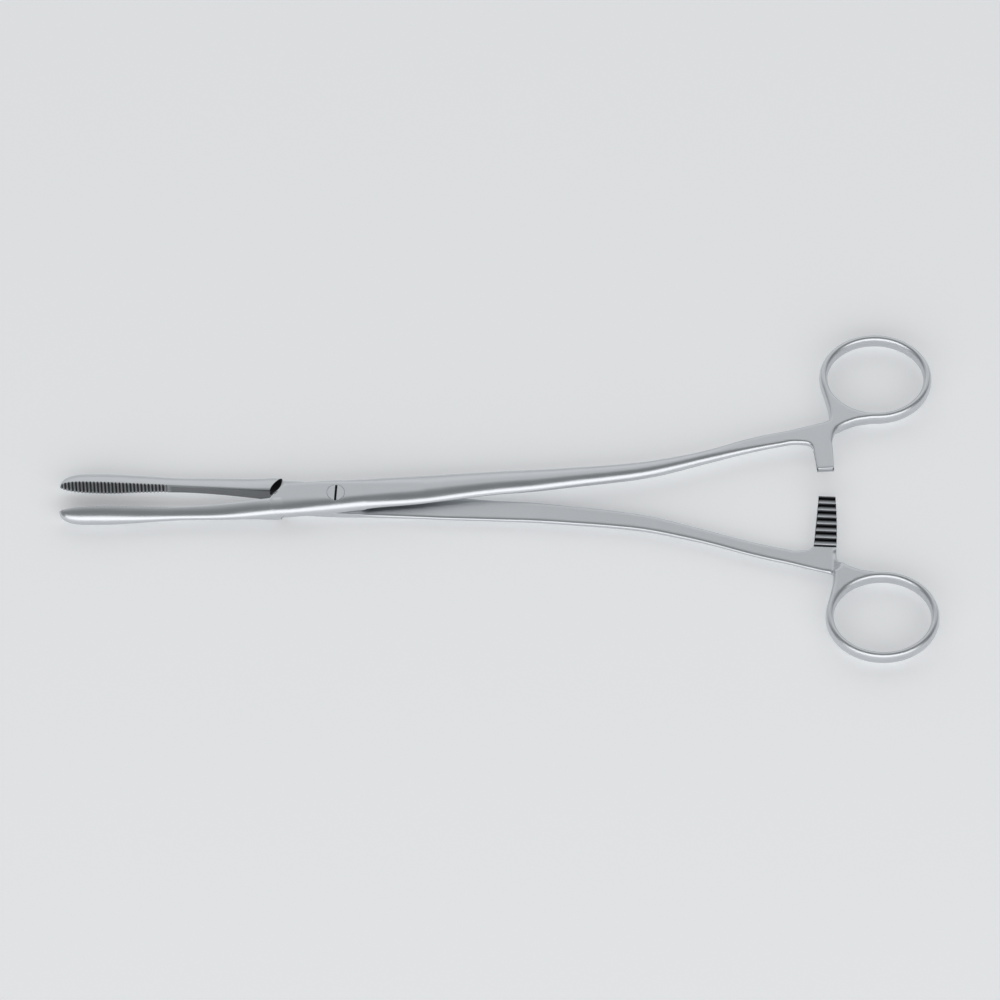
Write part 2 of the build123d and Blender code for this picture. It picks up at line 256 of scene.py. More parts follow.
def arm_outline(end):
    """Outer line of one arm in plan, anticlockwise. Fillets grow from three bells at the roots."""
    low_x = np.linspace(-16.6, 130.2, 500)
    high_x = np.linspace(138.4, -14.1, 500)
    inner, outer = bar_sides(end)
    lower_edge = np.column_stack([low_x, middle_of(low_x) - half_width_of(low_x)])
    upper_edge = np.column_stack([high_x, middle_of(high_x) + half_width_of(high_x)])
    ring = oval(np.linspace(-0.262, 0.549, 400), ring_wire / 2)
    under_web = np.array([[143.0, 13.9], [146.0, 15.75], [149.5, 16.95]])
    web_corner = np.array([[141.75, 21.8], [141.9, 17.5]])
    buried = np.array([[-18.6, -0.5], [-19.3, -2.2], [-18.2, -4.4]])
    loop = np.vstack([lower_edge, inner[::-1], outer, under_web, ring, web_corner, upper_edge, buried])
    bar_low = bar_radius * math.sin(end)

    def spread(x, y):
        wide = np.where(x < -10, plate_spread, plain_spread)
        wide = wide + 1.0 * bell(x, y, (134.5, 9.8), 4, 3.5)
        wide = wide + 0.9 * bell(x, y, (143, 12.5), 3.5, 3.0)
        wide = wide + 0.45 * bell(x, y, (141.7, 18), 3, 3.0)
        return np.where((x > 133) & (y < bar_low + 1.6), bar_spread, wide)

    return by_curvature(filleted(loop, spread), point_gap, 2.0)


plain_spread, plate_spread, bar_spread = 0.5, 0.07, 0.55
point_gap = 0.42
outlines = {name: arm_outline(end) for name, end in bar_ends.items()}
ring_hole = oval(np.linspace(0, 1, 330, endpoint=False), -ring_wire / 2)[::-1]
print("points in the outlines", {name: len(loop) for name, loop in outlines.items()})

# %% [markdown]
# ## Heights of the forging
# The plate of the lap joint is thick and ground flat, the shank is thinner with a slight crown,
# and the ring is as thick below as above. These levels are functions of the place in plan, with
# smooth steps between them. The ground inner face is relieved behind the joint, so that the
# shanks never rub, and it ends in a short cove before the ring.

# %% Top and bottom of an arm over any point of its plan
def on_bar(x, y):
    """1 on the ratchet bar, 0 on the neck above its root."""
    return step(130.5, 133.0, x) * (1 - step(bar_root_y - 1.4, bar_root_y + 0.6, y))


def on_ring(x, y):
    """1 on the ring and 0 on the shank, along the web."""
    return step(128.0, 144.0, x + 0.5 * np.clip(y - 17, 0, None)) * (1 - on_bar(x, y))


def fall(inset, wide, high, power):
    """Drop below the top at an inset from the edge: a quarter superellipse, wide across and high down."""
    left = np.clip(1 - inset / wide, 0, 1)
    return high * (1 - (1 - left**power) ** (1 / power))


print("side of 3 mm by 2.5 mm has dropped", round(float(fall(1.0, 3.0, 2.5, 2.0)), 2), "at 1 mm")

# %% [markdown]
# ## The two rounded sides
# The long white line along the forceps is the near edge of the front arm. Its quarter curve is
# five millimetres wide at the joint and shrinks to an even oval on the shank. A superellipse
# does both: its width, height and power are read at stations, as the plan is.

# %% Sides, outer face, sliding face and edges
def side_shape(x, y):
    """Width, height and power of the rounded side above an edge point: near side and far side apart."""
    near = [np.interp(x, side_x, values) for values in (near_wide, near_high, near_power)]
    far = [np.interp(x, side_x, values) for values in (far_wide, far_high, far_power)]
    is_near = y < middle_of(x)
    wide, high, power = [np.where(is_near, one, other) for one, other in zip(near, far)]
    neck = step(103, 128, x)
    shank_wide = SIDE_SHARE * half_width_of(x) * (1 - 0.5 * neck)
    return np.where(x > side_x[-1], shank_wide, wide), high * (1 - 0.45 * neck), power


def top_at(x, y):
    """Height of the outer face: its level along the arm, less the fall of both rounded sides."""
    half = half_width_of(x)
    level = mix(JOINT_TOP, SHANK_TOP, step(6, 26, x)) - 0.03 * (1 - step(-17.0, -16.4, x))
    level = mix(level, RING_TOP, step(88, 128, x))
    inset = half - np.abs(y - middle_of(x))
    wide, high, power = side_shape(x, y)
    drop = fall(inset, wide, high, power) * (1 - step(112, 128, x)) * (inset > 0)
    plain = mix(level - drop, RING_TOP, on_ring(x, y))
    return mix(plain, BAR_TOP, on_bar(x, y))


def floor_at(x, y):
    """Height of the sliding face: lap joint, relieved shank, cove and ring."""
    relief = SHANK_FLOOR + deeper_relief * (1 - step(45, 65, x))
    relief = mix(HALF_GAP, relief, step(6.7, 9.5, x))
    cove = step(141.3, 144.3, x + 1.3 * np.clip(y - 16.6, 0, None))
    plain = mix(relief, -RING_TOP, cove * (1 - on_bar(x, y)))
    bar = HALF_GAP + tooth_height
    return mix(plain, bar, on_bar(x, y) * (1 - step(bar_root_y - 1.6, bar_root_y - 1.5, y)))


def edge_sizes(x, y):
    """Edge above: strip, width, height and power. Edge below: width and height. One value a point."""
    ring, bar = on_ring(x, y), on_bar(x, y)
    end = (1 - step(-14.3, -13.9, x)) * (y > -5.45)
    wide, high, power = side_shape(x, y)
    wide = mix(mix(wide, ring_edge[0], ring), bar_edge[0], bar)
    high = mix(mix(high, ring_edge[1], ring), bar_edge[1], bar)
    wide, high = mix(wide, end_edge, end), mix(high, end_edge, end)
    power = mix(power, 2.0, np.maximum(ring, bar))
    strip = np.minimum(wide, np.maximum(0.6 * wide, ring_edge[0]))
    strip = np.minimum(strip, widest_strip)
    behind, round_ring = step(6, 14, x), step(0.75, 1.0, ring)
    low_wide = mix(mix(joint_low_edge, shank_low_edge[0], behind), ring_edge[0], round_ring)
    low_high = mix(mix(joint_low_edge, shank_low_edge[1], behind), ring_edge[1], round_ring)
    low_wide, low_high = mix(low_wide, bar_low_edge, bar), mix(low_high, bar_low_edge, bar)
    return [strip, wide, high, power, low_wide, low_high]


places = np.array([0.0, 60.0])
print("outer face at the joint and on the shank", top_at(places, middle_of(places)).round(2))

# %% [markdown]
# ## From outline to solid
# A rounded edge is a quarter ellipse carried along the outline. The two faces inside it are
# filled with triangles over points on a fine grid, which take their height from the functions
# above. That gives one closed skin, with long even strips where the light plays, on the edges.

# %% Which points lie in the region
def inside(points, loop):
    """True where a point lies inside a closed line, by counting how often a ray crosses it."""
    x, y = points[:, 0][:, None], points[:, 1][:, None]
    ahead = np.roll(loop, -1, axis=0)
    crosses = (loop[:, 1] > y) != (ahead[:, 1] > y)
    rise = np.where(ahead[:, 1] == loop[:, 1], 1, ahead[:, 1] - loop[:, 1])
    at = loop[:, 0] + (y - loop[:, 1]) * (ahead[:, 0] - loop[:, 0]) / rise
    return (crosses & (x < at)).sum(axis=1) % 2 == 1


def in_region(points, loops):
    """Inside the first closed line and outside the others."""
    found = inside(points, loops[0])
    for hole in loops[1:]:
        found &= ~inside(points, hole)
    return found


def inner_points(loops, gap):
    """Points of a triangular grid inside the region, kept off its border."""
    low, high = loops[0].min(axis=0), loops[0].max(axis=0)
    columns = np.arange(low[0], high[0], gap)
    rows = np.arange(low[1], high[1], gap * 0.866)
    x, y = np.meshgrid(columns, rows)
    x = x + (np.arange(len(rows)) % 2)[:, None] * gap / 2
    grid = np.column_stack([x.ravel(), y.ravel()])
    near = (grid[:, 1] > middle_of(grid[:, 0]) - 28) & (grid[:, 1] < middle_of(grid[:, 0]) + 40)
    grid = grid[near]
    grid = grid[in_region(grid, loops)]
    border = np.vstack(loops).astype(np.float32)
    room = np.concatenate([
        np.sqrt(((part[:, None] - border[None]) ** 2).sum(axis=2)).min(axis=1)
        for part in np.array_split(grid.astype(np.float32), max(1, len(grid) // 1500))
    ])
    return grid[room > 0.42 * gap]


square = np.array([[0.0, 0.0], [1.0, 0.0], [1.0, 1.0], [0.0, 1.0]])
print("inside a square:", inside(np.array([[0.5, 0.5], [1.5, 0.5]]), square))

# %% [markdown]
# ## Faces and edge strips
# Blender's own triangulation fills the flat faces and keeps the rim as it is given, so the
# strip round the edge and the face inside it share their points, and the skin has no gaps.

# %% Faces, strips and the closed skin
def triangles_over(loops, extra):
    """Triangles over the loops' points and the extra ones, inside the region, anticlockwise."""
    points = np.vstack(loops + [extra])
    starts = np.cumsum([0] + [len(loop) for loop in loops])
    edges = np.vstack([
        np.column_stack([np.arange(a, b), np.roll(np.arange(a, b), -1)])
        for a, b in zip(starts[:-1], starts[1:])
    ])
    result = geometry.delaunay_2d_cdt([Vector(p) for p in points], edges.tolist(), [], 0, 1e-7)
    source = np.array([ids[0] for ids in result[3]])
    faces = source[np.array([list(face) for face in result[2]])]
    corners = points[faces]
    area = np.cross(corners[:, 1] - corners[:, 0], corners[:, 2] - corners[:, 0])
    faces[area < 0] = faces[area < 0][:, ::-1]
    kept = in_region(points[faces].mean(axis=1), loops) & (np.abs(area) > 1e-9)
    return points, faces[kept]


def inward_of(loop):
    """Direction into the material, on the left of an anticlockwise line."""
    ahead = np.roll(loop, -1, axis=0) - np.roll(loop, 1, axis=0)
    ahead = ahead / np.maximum(np.hypot(*ahead.T), 1e-9)[:, None]
    return np.column_stack([-ahead[:, 1], ahead[:, 0]])


def edge_strip(loop, sizes, top, floor, steps=8):
    """Rounded edge: down the fall from the top face, upright side, quarter ellipse in to the floor."""
    strip, wide, high, power, low_wide, low_high = [np.broadcast_to(size, len(loop)) for size in sizes]
    inward = inward_of(loop)
    upper = loop + inward * strip[:, None]
    lower = loop + inward * low_wide[:, None]
    ceiling = top(upper[:, 0], upper[:, 1])
    ground = floor(lower[:, 0], lower[:, 1])
    begun = fall(strip, wide, high, power)
    limit = np.minimum(1, 0.97 * (ceiling - ground) / (high - begun + low_high))
    low_high = low_high * limit
    rows = []
    first = np.arcsin(np.clip(1 - strip / wide, 0, 1))
    for share in np.linspace(0, 1, steps):
        inset = wide * (1 - np.sin(mix(first, math.pi / 2, share)))
        drop = (fall(inset, wide, high, power) - begun) * limit
        rows.append(np.column_stack([loop + inward * inset[:, None], ceiling - drop]))
    for angle in np.linspace(0, math.pi / 2, 5):
        place = loop + inward * (low_wide * (1 - math.cos(angle)))[:, None]
        rows.append(np.column_stack([place, ground + low_high * (1 - math.sin(angle))]))
    return np.array(rows)


def strip_faces(rows, columns, first):
    """Four-sided faces of a closed strip, seen from outside."""
    row, column = np.meshgrid(np.arange(rows - 1), np.arange(columns), indexing="ij")
    right = (column + 1) % columns
    quads = [first + (row + 1) * columns + column, first + (row + 1) * columns + right,
             first + row * columns + right, first + row * columns + column]
    return np.stack(quads, axis=-1).reshape(-1, 4)


def skin(loops, sizes, top, floor, gap=0.5):
    """Closed skin over a region in plan. Returns its points, four-sided faces and triangles."""
    strips = [edge_strip(loop, size, top, floor) for loop, size in zip(loops, sizes)]
    points, quads, start = [], [], 0
    first_rows, last_rows = [], []
    for strip in strips:
        rows, columns = strip.shape[:2]
        points.append(strip.reshape(-1, 3))
        quads.append(strip_faces(rows, columns, start))
        first_rows.append(np.arange(columns) + start)
        last_rows.append(np.arange(columns) + start + (rows - 1) * columns)
        start += rows * columns
    faces = []
    for face, ends, height, flip in (("top", first_rows, top, False), ("floor", last_rows, floor, True)):
        rims = [strip[0 if face == "top" else -1][:, :2] for strip in strips]
        extra = inner_points(rims, gap)
        plan, triangles = triangles_over(rims, extra)
        points.append(np.column_stack([extra, height(extra[:, 0], extra[:, 1])]))
        numbers = np.concatenate(ends + [np.arange(len(extra)) + start])
        start += len(extra)
        triangles = numbers[triangles]
        faces.append(triangles[:, ::-1] if flip else triangles)
    return np.vstack(points), np.vstack(quads), np.vstack(faces)


def plate(name, screw_hole):
    """Skin of one arm without its jaw."""
    angle = np.linspace(0, 2 * math.pi, 96, endpoint=False)[::-1]
    hole = screw_hole * np.column_stack([np.cos(angle), np.sin(angle)])
    loops = [outlines[name], ring_hole, hole]
    sizes = [edge_sizes(*outlines[name].T), edge_sizes(*ring_hole.T), [0.07, 0.07, 0.07, 2.0, 0.05, 0.05]]
    return skin(loops, sizes, top_at, floor_at)


plates = {"front": plate("front", 2.54), "back": plate("back", 1.53)}
print("plates", {name: (len(p), len(q), len(t)) for name, (p, q, t) in plates.items()})

# %% [markdown]
# ## The jaws
# A jaw is a half-round bar with a flat gripping face. It is thick at the joint, slim at its
# waist and broad again at the tip, where fine grooves cross the face. One closed section is
# carried along the jaw: a flat with slightly broken edges and a superellipse behind it. The
# grooves are cut by pulling every point of the section below the groove's floor.

# %% Jaw swept along X
jaw_x = [-73.5, -70.7, -64.4, -56.2, -44.4, -33.0, -22.5, -17.5, -14.0]
jaw_relief = [0.05, 0.05, 0.15, 0.52, 0.90, 0.80, 0.62, 0.60, 0.60]
jaw_depth = [4.2, 4.3, 4.5, 4.12, 3.60, 4.15, 4.66, 4.95, 4.90]
jaw_width = [5.75, 5.85, 5.85, 4.65, 3.40, 3.75, 5.6, 7.0, 7.0]
jaw_under = [2.87, 2.92, 2.92, 2.32, 1.70, 1.85, 2.15, 2.30, 2.30]
jaw_power = [2.1, 2.1, 2.1, 2.1, 2.1, 2.15, 2.4, 2.9, 2.9]
jaw_nose = -70.6
jaw_tip = -78.6
jaw_bend = -30.0
jaw_buried = -14.5
groove_pitch = 1.03
groove_depth = 0.45
groove_run = 31.8
broken_edge = 0.28
# Strength of the painted dark reflection on the gripping flat, and the share of it where the grooves are
# cut
flat_painted_reflection = 0.62
grooved_share = 0.62
print("jaw length", round(-jaw_tip, 1), "with", int(groove_run / groove_pitch), "grooves")

# %% [markdown]
# ## Sections of the jaw
# The tip is an oval nose: the section shrinks there as a root of the distance that is left.
# At the joint the half above the sliding plane runs into the plate, and the half below it ends
# in a slanted shoulder, so the two halves of a section stop at different places.

# %% Grooves, grid and root
def groove(x):
    """Depth of the grooves below the face: a V of rounded bottom, repeated at its pitch."""
    phase = ((x - jaw_tip) / groove_pitch) % 1.0
    wave = np.clip(1.25 * (1 - np.abs(2 * phase - 1)), 0, 1)
    begun = step(0.2, 0.7, x - jaw_tip)
    ended = step(groove_run - 2.4, groove_run + 0.3, x - jaw_tip)
    return groove_depth * wave * begun * (1 - ended)


def jaw_grid():
    """Positions along the jaw and turns around its section: two parameters for the whole jaw."""
    cut = np.arange(jaw_nose, jaw_tip + groove_run + 0.5, groove_pitch / 10)
    plain = np.linspace(cut[-1] + 0.1, -8.0, 150)
    nose = jaw_nose - (jaw_nose - jaw_tip) * np.sin(np.linspace(0, 0.5, 110)[1:] * math.pi)
    x = np.concatenate([nose[::-1], cut, plain])[:, None]
    back = np.linspace(0, math.pi, 45)
    face = np.linspace(-1, 1, 17)
    return x, back[None, :], np.cos(back)[None, :], face[None, :]


def root_line(y, upper):
    """Where the jaw ends: the slanted shoulder below the sliding plane, inside the plate above it."""
    return mix(-(16.1 + 0.537 * y) / 0.843, jaw_buried, upper)


def stretched(x, end):
    """x up to the bend, then an even share of the way from the bend to the end."""
    return np.where(x > jaw_bend, mix(jaw_bend, end, (x - jaw_bend) / (-8.0 - jaw_bend)), x)


def half_of(x, upper):
    """Half width of the section: above the sliding plane where upper is positive, below it otherwise."""
    share = step(-0.25, 0.25, upper)
    return mix(through(jaw_x, jaw_under, x), through(jaw_x, jaw_width, x) / 2, share)


print("a groove is", round(float(groove(jaw_tip + 3.5 * groove_pitch)), 2), "mm deep")

# %% [markdown]
# ## Points of the jaw and where it is dark
# The grooves, the gripping flat and the corner at the shoulder are dark: the grooves and the
# corner get painted shade, and the flat a painted dark reflection. The same function that places the
# points also says how dark each point is, and the steel reads that later.

# %% Points, dark corners and mesh
def jaw_points():
    """Superellipse from one flat edge round the back to the other, and the flat with broken edges."""
    x, back, wide, face = jaw_grid()
    share = np.clip((jaw_nose - x) / (jaw_nose - jaw_tip), 0, 1)
    size = np.sqrt(np.clip(1 - share**2.3, 0, 1)) ** 0.9
    guess = -0.6 - 4.95 * np.abs(np.sin(back))
    back_x = stretched(x, root_line(guess, step(0.02, 0.25, wide)))
    power = through(jaw_x, jaw_power, back_x)
    bevel = np.minimum(broken_edge, 0.3 * size * half_of(back_x, wide))
    around = np.sign(wide) * np.abs(wide) ** (2 / power)
    deep = np.abs(np.sin(back)) ** (2 / power)
    back_z = around * half_of(back_x, wide) * size
    depth = through(jaw_x, jaw_depth, back_x) * size
    back_y = -through(jaw_x, jaw_relief, back_x) - bevel - deep * (depth - bevel)
    back_z = back_z - 0.05 * step(-16.2, jaw_buried, back_x) * (back_z > 0.3)
    face_x = stretched(x, root_line(-0.6, step(0.05, 0.3, face)))
    face_half = half_of(face_x, face) * size
    bevel = np.minimum(broken_edge, 0.3 * face_half)
    face_z = face * (face_half - bevel)
    face_y = -through(jaw_x, jaw_relief, face_x) + 0 * face
    corner = bevel * 0.29
    rim = np.array([-1.0, 1.0])[None, :]
    rim_x = stretched(x, root_line(-0.6, (rim + 1) / 2))
    rim_z = rim * (half_of(rim_x, rim) * size - corner[:, :1])
    rim_y = -through(jaw_x, jaw_relief, rim_x) - corner[:, :1]
    section_x = np.hstack([back_x, rim_x[:, :1], face_x, rim_x[:, 1:]])
    section_y = np.hstack([back_y, rim_y[:, :1], face_y, rim_y[:, 1:]])
    section_z = np.hstack([back_z, rim_z[:, :1], face_z, rim_z[:, 1:]])
    relief = through(jaw_x, jaw_relief, section_x)
    cut = np.minimum(groove(section_x), 0.5 * through(jaw_x, jaw_depth, section_x) * size)
    groove_floor = -relief - cut
    # Painted shade in the grooves, darker the deeper the cut
    dark = np.clip((-relief - np.minimum(section_y, groove_floor)) / groove_depth, 0, 1)
    dark = dark * (cut > 0.02) * (section_y >= groove_floor - 1e-6)
    # Painted shade on the shoulder corner below the sliding plane
    last = step(-0.25, -0.02, section_x - root_line(section_y, 0.0)) * (section_z < 0.3)
    column = np.arange(section_x.shape[1])
    # Painted dark reflection on the gripping flat, weaker where the grooves are cut
    flat = flat_painted_reflection * ((column > back.size) & (column < section_x.shape[1] - 1))
    past_grooves = step(groove_run - 1.0, groove_run + 0.3, section_x - jaw_tip)
    dark = np.maximum(np.maximum(dark, last), flat[None, :] * mix(grooved_share, 1.0, past_grooves))
    # Full painted shade on the lower part of the shoulder end
    dark[-1, section_z[-1] < 1.0] = 1
    section_y = np.minimum(section_y, groove_floor)
    return np.stack([section_x, section_y, section_z], axis=-1), dark


def jaw_mesh():
    """Closed mesh of the jaw: the sections, a pole at the tip and a flat fan at the shoulder."""
    sections, painted_dark_part = jaw_points()
    rows, columns = sections.shape[:2]
    points = np.vstack([sections.reshape(-1, 3), sections[0].mean(axis=0), sections[-1].mean(axis=0)])
    row, column = np.meshgrid(np.arange(rows - 1), np.arange(columns), indexing="ij")
    right = (column + 1) % columns
    quads = np.stack([row * columns + column, (row + 1) * columns + column,
                      (row + 1) * columns + right, row * columns + right], axis=-1).reshape(-1, 4)
    around = np.arange(columns)
    ahead = (around + 1) % columns
    tip, root = rows * columns, rows * columns + 1
    last = (rows - 1) * columns
    tip_fan = np.column_stack([np.full(columns, tip), around, ahead])
    root_fan = np.column_stack([np.full(columns, root), last + ahead, last + around])
    # The pole of the shoulder fan gets full painted shade
    return points, quads, np.vstack([tip_fan, root_fan]), np.append(painted_dark_part.ravel(), [0, 1])


jaw_parts = jaw_mesh()
print("jaw", [len(part) for part in jaw_parts])

# %% [markdown]
# ## The ratchet teeth
# The teeth are a saw profile carried straight across the bar. Their steep faces look towards
# the root, so that the arms click shut and stay shut until they are pushed sideways.

# %% Saw profile across the bar
def rack(name):
    """Saw-toothed block on the sliding side of the bar, with slightly rounded crests."""
    end = bar_ends[name]
    count = tooth_counts[name]
    first = bar_radius * math.sin(end) + 0.12
    one = np.array([[0.0, 0.0], [0.07, -0.03], [0.16, 0.02], [0.30, 0.92],
                    [0.38, 1.0], [0.46, 0.98], [2.16, 0.06], [2.24, 0.0]])
    shift = np.arange(count)[:, None, None] * np.array([tooth_pitch, 0.0])
    profile = (one[None] + shift).reshape(-1, 2)
    close = first + count * tooth_pitch
    last_notch = [[close, 0.0], [close + 0.06, 0.06], [close + 0.14, 1.0]]
    profile = np.vstack([profile + [first, 0], last_notch])
    y = profile[:, 0]
    z = HALF_GAP + tooth_height * profile[:, 1]
    y = np.concatenate([y, [y[-1], first]])
    z = np.concatenate([z, [HALF_GAP + tooth_height + 0.5] * 2])
    half = bar_width / 2 + bar_taper * (y - first) / 2
    across = np.array([-1.0, -0.985, -0.95, -0.4, 0.4, 0.95, 0.985, 1.0])
    lift = np.array([0.1, 0.03, 0, 0, 0, 0, 0.03, 0.1])
    middle = np.sqrt(bar_radius**2 - y**2)
    x = middle[:, None] + across[None] * half[:, None]
    height = z[:, None] + 0.6 * lift[None]
    points = np.stack([x, np.broadcast_to(y[:, None], x.shape), height], axis=-1)
    rows, columns = points.shape[:2]
    row, column = np.meshgrid(np.arange(rows), np.arange(columns - 1), indexing="ij")
    below = (row + 1) % rows
    quads = np.stack([row * columns + column, below * columns + column,
                      below * columns + column + 1, row * columns + column + 1], axis=-1).reshape(-1, 4)
    around = np.arange(rows)
    ahead = (around + 1) % rows
    centre = np.vstack([points[:, 0].mean(axis=0), points[:, -1].mean(axis=0)])
    centre[:, 2] = HALF_GAP + tooth_height + 0.2
    flat = points.reshape(-1, 3)
    fans = np.vstack([
        np.column_stack([np.full(rows, len(flat)), ahead * columns, around * columns]),
        np.column_stack([np.full(rows, len(flat) + 1), (around + 1) * columns - 1,
                         (ahead + 1) * columns - 1]),
    ])
    # Painted shade in the roots between the teeth, full at the roots and at the end caps
    painted_dark_part = np.clip(2.4 * (flat[:, 2] - HALF_GAP) / tooth_height, 0, 1)
    return np.vstack([flat, centre]), quads, fans, np.append(painted_dark_part, [1, 1])


racks = {name: rack(name) for name in bar_ends}
print("racks", {name: len(part[0]) for name, part in racks.items()})

# %% [markdown]
# ## Into Blender
# The three parts of each arm go into one mesh. The arm is then turned to its open position and
# moved to the pivot, in the mesh itself, so the object stays at the origin. Two attributes tell
# the finish where shade and a dark reflection are painted and where the ground sliding face is.
# Both arms start from one averaged shank. Neither arm in the photograph follows it exactly, so
# each side is shifted a little. Why they differ isn't known, and an error of the camera would be
# in the shifts too.

# %% Meshes from arrays
def turned(points, angle):
    """Points turned about Z by an angle: x' = x cos a - y sin a, y' = x sin a + y cos a."""
    cos, sin = math.cos(angle), math.sin(angle)
    return points @ np.array([[cos, sin, 0], [-sin, cos, 0], [0, 0, 1]])


def placed(points, side):
    """Closed arm in millimetres to its open place in metres. The back arm is turned about X first."""
    facing = 1 if side == "front" else -1
    local = points * np.array([1, facing, facing])
    return turned(local, facing * HALF_OPENING) * MM + pivot


def shifted(points, name):
    """Each side of a shank moved along Y by its shift at x, mixed straight across the width."""
    x, y = points[:, 0], points[:, 1]
    share = np.clip(((y - middle_of(x)) / half_width_of(x) + 1) / 2, 0, 1)
    outer = through(shift_x, outer_shift[name], x)
    inner = through(shift_x, inner_shift[name], x)
    held = (x > shift_x[0]) & (x < shift_x[-1]) & (y > middle_of(x) - 6) & (y < middle_of(x) + 6)
    moved = points.copy()
    moved[:, 1] += np.where(held, mix(inner, outer, share), 0)
    return moved


def join(parts):
    """Arrays of several closed meshes as one: points, faces and the depth mask."""
    points, quads, triangles, masks, start = [], [], [], [], 0
    for part in parts:
        points.append(part[0])
        quads.append(part[1] + start)
        triangles.append(part[2] + start)
        masks.append(part[3])
        start += len(part[0])
    return np.vstack(points), np.vstack(quads), np.vstack(triangles), np.concatenate(masks)


def add_piece(name, points, quads, triangles, masks):
    """New smooth mesh object: large faces lead the shading, creases stay sharp, masks are attributes."""
    mesh = bpy.data.meshes.new(name)
    mesh.from_pydata(points.tolist(), [], quads.tolist() + triangles.tolist())
    mesh.update()
    mesh.polygons.foreach_set("use_smooth", np.ones(len(mesh.polygons), bool))
    mesh.set_sharp_from_angle(angle=math.radians(CREASE))
    for key, values in masks.items():
        attribute = mesh.attributes.new(key, "FLOAT", "POINT")
        attribute.data.foreach_set("value", values.astype(np.float32))
    piece = bpy.data.objects.new(name, mesh)
    bpy.context.scene.collection.objects.link(piece)
    shading = piece.modifiers.new("even_shading", "WEIGHTED_NORMAL")
    shading.weight = 60
    shading.keep_sharp = True
    return piece


def arm(name, body, node):
    """One arm: plate, jaw and rack, riding on its body in place of its solid."""
    plate_part = plates[name] + (np.zeros(len(plates[name][0])),)
    points, quads, triangles, painted_dark_part = join([plate_part, jaw_parts, racks[name]])
    ground = (points[:, 2] < 0.42) * (points[:, 0] > -25) * (points[:, 0] < 142) * 1.0
    points = shifted(points, name)
    # The groove attribute is the painted shade and painted dark reflection of the jaw and the rack
    piece = add_piece(name + "_forging", placed(points, name), quads, triangles,
                      {"groove": painted_dark_part, "ground": ground})
    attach(piece, body)
    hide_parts(node)
    print(piece.name, len(points), "points,", 2 * len(quads) + len(triangles), "triangles")
    return piece


front_piece = arm("front", "front_half", "front_arm")
back_piece = arm("back", "back_half", "back_arm")

# %% [markdown]
# ## The joint screw
# Its head is ground flush with the arm. Two half discs stand on a round base, and the slot is
# the space between them. The lower end shows as a small disc on the other side.

# %% Screw head, slot and shaft
screw_radius = 2.5
slot_half = 0.31
slot_floor = 2.75
slot_turn = math.radians(-6.7)


def half_disc(radius, cut, side):
    """Half of a disc beyond a straight cut, anticlockwise."""
    reach = math.asin(cut / radius)
    angle = np.linspace(-math.pi / 2 + reach, math.pi / 2 - reach, 60)
    arc = radius * np.column_stack([np.cos(angle), np.sin(angle)])
    straight = np.linspace(arc[-1], arc[0], 12)[1:-1]
    return np.vstack([arc, straight]) * side


def disc(radius, count=96):
    """Circle, anticlockwise."""
    angle = np.linspace(0, 2 * math.pi, count, endpoint=False)
    return radius * np.column_stack([np.cos(angle), np.sin(angle)])


def level(height):
    """Face at one height."""
    return lambda x, y: np.full_like(x, height)


def screw_part(loop, low, high, edge):
    """Closed disc of any outline between two heights, with one rounding all round."""
    sizes = [edge, edge, edge, 2.0, edge, edge]
    points, quads, triangles = skin([loop], [sizes], level(high), level(low), 0.4)
    return points, quads, triangles, np.zeros(len(points))


screw_parts = [
    screw_part(half_disc(screw_radius, slot_half, 1), 2.6, JOINT_TOP, 0.06),
    screw_part(half_disc(screw_radius, slot_half, -1), 2.6, JOINT_TOP, 0.06),
    screw_part(disc(screw_radius), 2.3, slot_floor, 0.05),
    screw_part(disc(1.9), -0.05, 2.4, 0.05),
    screw_part(disc(1.5), -3.48, 0.02, 0.08),
]
points, quads, triangles, painted_dark_part = join(screw_parts)
# Painted shade on the floor of the slot, stored in the screw's groove attribute
painted_dark_part = ((np.abs(points[:, 2] - slot_floor) < 0.03) & (np.abs(points[:, 0]) < 0.6)) * 1.0
screw_piece = add_piece("joint_screw", placed(turned(points, slot_turn), "front"), quads, triangles,
                        {"groove": painted_dark_part, "ground": 0 * painted_dark_part})
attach(screw_piece, "back_half")
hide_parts("pivot_screw")
print("screw", len(points), "points")

# %% [markdown]
# ## Satin steel
# Instrument steel is glass-beaded and brushed: it mirrors its surroundings, but blurred, with a
# very fine grain and slightly uneven patches. Metallic is one, the colour is a
# cool light grey, and roughness and bump carry the grain. The grain is a node group, because the
# arms and the screw share it with different values.

# %% Node group for the grain
def new_group(name, inputs, outputs):
    """Empty shader node group with float inputs and named outputs."""
    group = bpy.data.node_groups.new(name, "ShaderNodeTree")
    for key, value in inputs.items():
        group.interface.new_socket(key, in_out="INPUT", socket_type="NodeSocketFloat").default_value = value
    for key, kind in outputs.items():
        group.interface.new_socket(key, in_out="OUTPUT", socket_type=kind)
    return group, group.nodes.new("NodeGroupInput"), group.nodes.new("NodeGroupOutput")


def noise(nodes, links, vector, scale, detail):
    """Noise from 0 to 1, with its scale in waves a metre and its number of finer layers."""
    node = nodes.new("ShaderNodeTexNoise")
    node.inputs["Scale"].default_value = scale
    node.inputs["Detail"].default_value = detail
    links.new(vector, node.inputs["Vector"])
    return node.outputs["Fac"]


def scaled(nodes, links, vector, scale):
    """Coordinates multiplied axis by axis, which stretches a noise into streaks."""
    node = nodes.new("ShaderNodeMapping")
    node.inputs["Scale"].default_value = scale
    links.new(vector, node.inputs["Vector"])
    return node.outputs["Vector"]


